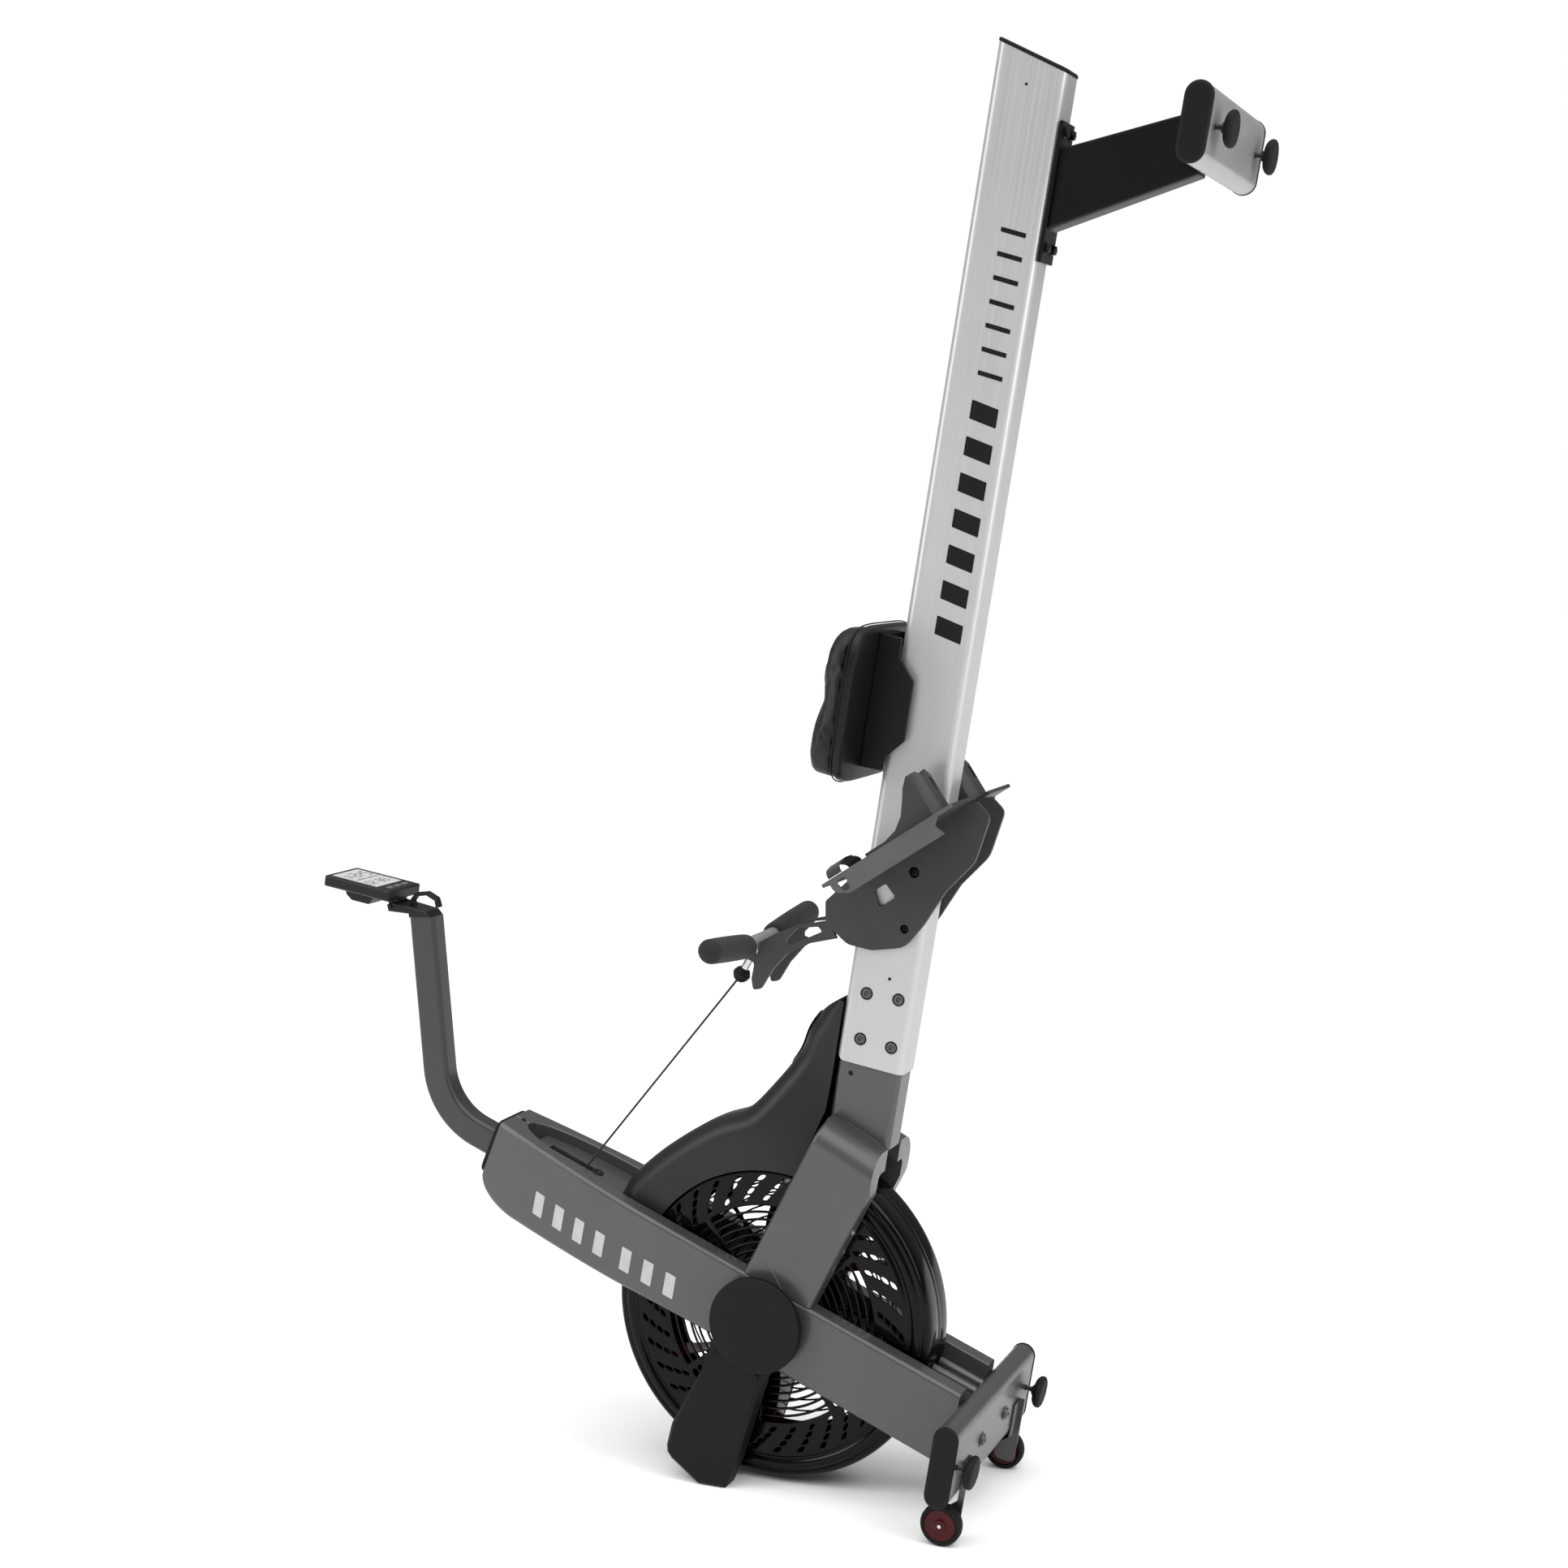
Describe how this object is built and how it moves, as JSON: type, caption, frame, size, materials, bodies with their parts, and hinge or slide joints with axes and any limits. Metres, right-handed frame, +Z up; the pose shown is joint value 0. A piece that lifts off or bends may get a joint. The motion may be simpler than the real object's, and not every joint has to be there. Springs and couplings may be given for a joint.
{
  "type": "rowing machine",
  "caption": "Air rowing machine stored upright on its flywheel end: long rail with sliding seat, side frames round a caged fan, footrests, handle on a cord, monitor on a bent mast.",
  "frame": {"origin": "middle of the outline on the floor, with the machine stored upright", "axes": "+Z up; the rail leans 9.25 degrees towards +X from the vertical; +Y is the rower's right hand side; -X is the side the monitor and the seat's top face"},
  "size_m": [1.6565, 0.446, 2.3814],
  "materials": {
    "frame_paint": "satin warm grey paint",
    "mast_paint": "satin dark grey paint",
    "aluminium": "fine satin anodised",
    "silver_paint": "satin silver paint",
    "black_steel": "satin black powder coat",
    "black_plastic": "matte, fine grain",
    "gloss_black": "gloss black",
    "shroud_plastic": "satin charcoal",
    "foot_plastic": "satin dark grey, fine grain",
    "dark_red": "gloss dark red",
    "rubber": "matte rubber",
    "chrome": "polished",
    "steel": "turned, lightly oiled",
    "seat_foam": "skinned foam, satin",
    "cord_nylon": "braided nylon",
    "webbing": "woven webbing",
    "button_grey": "matte grey",
    "screen_grey": "clear lens over a grey panel"
  },
  "bodies": {
    "frame": {"cord_bridge": "frame_paint", "fan_axle": "steel", "fan_guard_left": "gloss_black", "fan_guard_right": "gloss_black", "footrest_left": "foot_plastic", "footrest_right": "foot_plastic", "fork_arm_left": "frame_paint", "fork_arm_right": "frame_paint", "front_bar": "frame_paint", "front_bar_cap_left": "black_plastic", "front_bar_cap_right": "black_plastic", "head_end_plate": "black_plastic", "hub_cap_left": "black_plastic", "hub_cap_right": "black_plastic", "inner_cord": "cord_nylon", "monitor_bracket": "black_plastic", "monitor_mast": "mast_paint", "neck": "frame_paint", "pull_cord": "cord_nylon", "rail": "aluminium", "rail_end_cap": "black_plastic", "rear_bar": "silver_paint", "rear_bar_cap_left": "black_plastic", "rear_bar_cap_right": "black_plastic", "rear_leg": "black_steel", "shroud": "shroud_plastic", "side_beam_left": "frame_paint", "side_beam_right": "frame_paint", "storage_foot_left": "black_plastic", "storage_foot_right": "black_plastic", "toe_strap_left": "webbing", "toe_strap_right": "webbing", "wheel_bracket_left": "chrome", "wheel_bracket_right": "chrome"},
    "fan": {"fan_rotor": "dark_red", "fan_bearing_left": "steel", "fan_bearing_right": "steel"},
    "drum": {"cord_drum": "black_steel"},
    "guide": {"guide_pulley": "steel"},
    "handle": {"handle_bar": "silver_paint", "handle_grip_left": "rubber", "handle_grip_right": "rubber", "cord_fitting": "rubber"},
    "seat": {"seat_pad": "seat_foam", "seat_carriage": "black_plastic"},
    "roller_front": {"seat_roller_front": "steel"},
    "roller_rear": {"seat_roller_rear": "steel"},
    "wheel_left": {"transport_wheel_left": "dark_red"},
    "wheel_right": {"transport_wheel_right": "dark_red"},
    "monitor": {"monitor_case": "black_plastic", "monitor_screen": "screen_grey"},
    "button_1": {"monitor_button_1": "button_grey"},
    "button_2": {"monitor_button_2": "button_grey"},
    "button_3": {"monitor_button_3": "button_grey"},
    "heel_left": {"heel_cup_left": "foot_plastic"},
    "heel_right": {"heel_cup_right": "foot_plastic"},
    "foot_front_left": {"front_foot_left": "rubber"},
    "foot_front_right": {"front_foot_right": "rubber"},
    "foot_rear_left": {"rear_foot_left": "rubber"},
    "foot_rear_right": {"rear_foot_right": "rubber"}
  },
  "joints": [
    {"name": "fan_spin", "type": "hinge", "parent": "frame", "child": "fan", "pos_m": [0.0499, 0, 0.2975], "axis": [0, 1, 0], "continuous": true},
    {"name": "handle_pull", "type": "slide", "parent": "frame", "child": "handle", "axis": [-0.048, 0, 0.9988], "range_m": [0, 1.2], "deforming": ["pull_cord"]},
    {"name": "drum_spin", "type": "hinge", "parent": "frame", "child": "drum", "pos_m": [0.0499, 0, 0.2975], "axis": [0, 1, 0], "continuous": true},
    {"name": "guide_spin", "type": "hinge", "parent": "frame", "child": "guide", "pos_m": [-0.32747, 0, 0.46796], "axis": [0, 1, 0], "continuous": true},
    {"name": "seat_slide", "type": "slide", "parent": "frame", "child": "seat", "axis": [0.1607, 0, 0.987], "range_m": [0, 0.88]},
    {"name": "roller_front_spin", "type": "hinge", "parent": "seat", "child": "roller_front", "pos_m": [0.23423, 0, 1.27255], "axis": [0, 1, 0], "continuous": true},
    {"name": "roller_rear_spin", "type": "hinge", "parent": "seat", "child": "roller_rear", "pos_m": [0.25802, 0, 1.41863], "axis": [0, 1, 0], "continuous": true},
    {"name": "wheel_left_spin", "type": "hinge", "parent": "frame", "child": "wheel_left", "pos_m": [0.40069, -0.168, 0.03449], "axis": [0, 1, 0], "continuous": true},
    {"name": "wheel_right_spin", "type": "hinge", "parent": "frame", "child": "wheel_right", "pos_m": [0.40069, 0.168, 0.03449], "axis": [0, 1, 0], "continuous": true},
    {"name": "monitor_tilt", "type": "hinge", "parent": "frame", "child": "monitor", "pos_m": [-0.7057, 0, 0.94589], "axis": [0, 1, 0], "range_deg": [-15, 20]},
    {"name": "button_1_press", "type": "slide", "parent": "monitor", "child": "button_1", "axis": [-0.1607, 0, -0.987], "range_m": [0, 0.0015], "stiffness_N_per_m": 400},
    {"name": "button_2_press", "type": "slide", "parent": "monitor", "child": "button_2", "axis": [-0.1607, 0, -0.987], "range_m": [0, 0.0015], "stiffness_N_per_m": 400},
    {"name": "button_3_press", "type": "slide", "parent": "monitor", "child": "button_3", "axis": [-0.1607, 0, -0.987], "range_m": [0, 0.0015], "stiffness_N_per_m": 400},
    {"name": "heel_left_slide", "type": "slide", "parent": "frame", "child": "heel_left", "axis": [-0.8382, 0, -0.5454], "range_m": [0, 0.05]},
    {"name": "heel_right_slide", "type": "slide", "parent": "frame", "child": "heel_right", "axis": [-0.8382, 0, -0.5454], "range_m": [0, 0.05]},
    {"name": "foot_front_left_height", "type": "slide", "parent": "frame", "child": "foot_front_left", "axis": [0.987, 0, -0.1607], "range_m": [-0.01, 0.01]},
    {"name": "foot_front_right_height", "type": "slide", "parent": "frame", "child": "foot_front_right", "axis": [0.987, 0, -0.1607], "range_m": [-0.01, 0.01]},
    {"name": "foot_rear_left_height", "type": "slide", "parent": "frame", "child": "foot_rear_left", "axis": [0.987, 0, -0.1607], "range_m": [-0.01, 0.01]},
    {"name": "foot_rear_right_height", "type": "slide", "parent": "frame", "child": "foot_rear_right", "axis": [0.987, 0, -0.1607], "range_m": [-0.01, 0.01]}
  ],
  "couplings": [
    {"joint": "drum_spin", "follows": "handle_pull", "rad_per_m": 22.222},
    {"joint": "guide_spin", "follows": "handle_pull", "rad_per_m": 55.556},
    {"joint": "roller_front_spin", "follows": "seat_slide", "rad_per_m": 80},
    {"joint": "roller_rear_spin", "follows": "seat_slide", "rad_per_m": 80}
  ]
}
